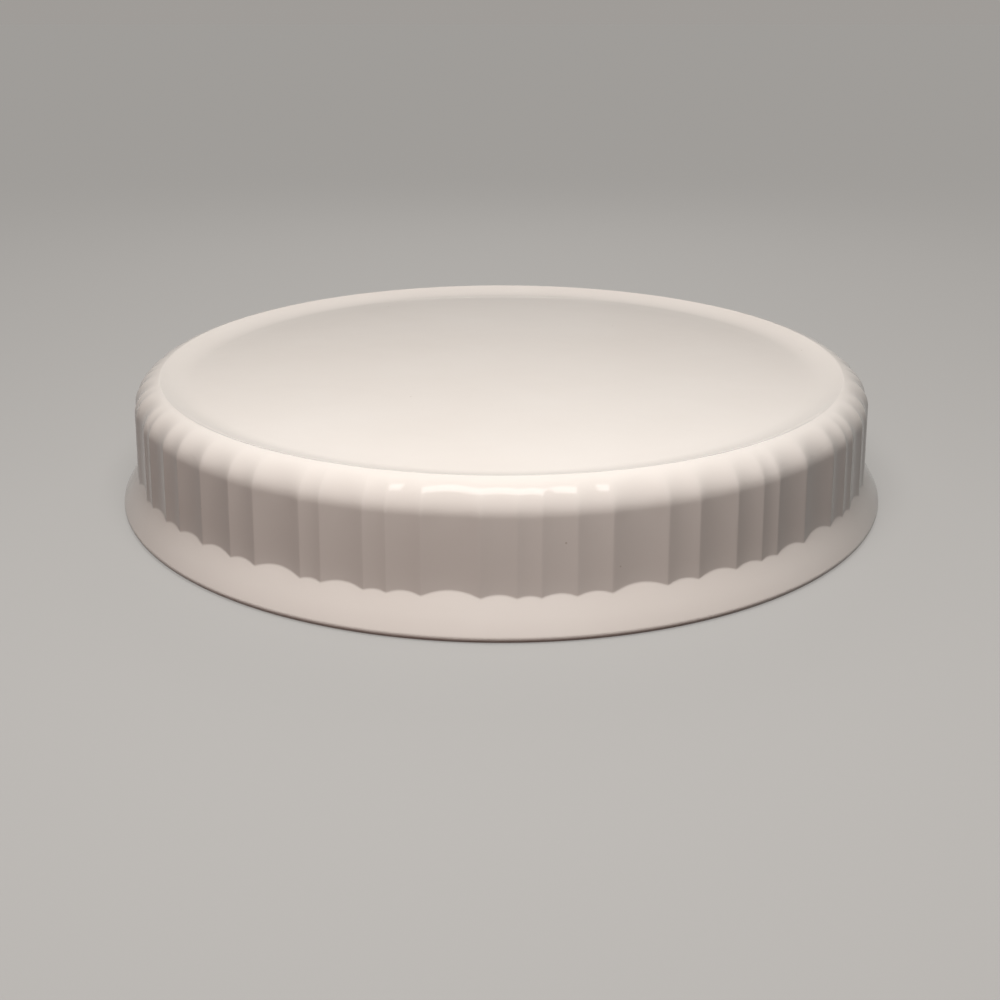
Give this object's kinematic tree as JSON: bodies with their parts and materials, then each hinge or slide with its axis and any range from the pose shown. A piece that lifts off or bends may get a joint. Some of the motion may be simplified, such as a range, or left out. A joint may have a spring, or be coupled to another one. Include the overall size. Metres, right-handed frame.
{
  "type": "baking dish",
  "caption": "Round white fluted baking dish with a plain flared rim, a rounded shoulder and a recessed base with a narrow foot ring, stored upside down on its rim.",
  "frame": {"origin": "centre of the rim plane, on the surface that the dish stands on when it is turned upside down, as pictured", "axes": "+Z along the dish's axis, from the rim up to the foot ring; -Y is the pictured front and +X is to the right of it. Turn the part half a turn about +X to use it as a dish."},
  "size_m": [0.254, 0.254, 0.04],
  "materials": {
    "white_glaze": "smooth glossy warm white glaze"
  },
  "bodies": {
    "root": {"dish": "white_glaze"}
  },
  "joints": []
}
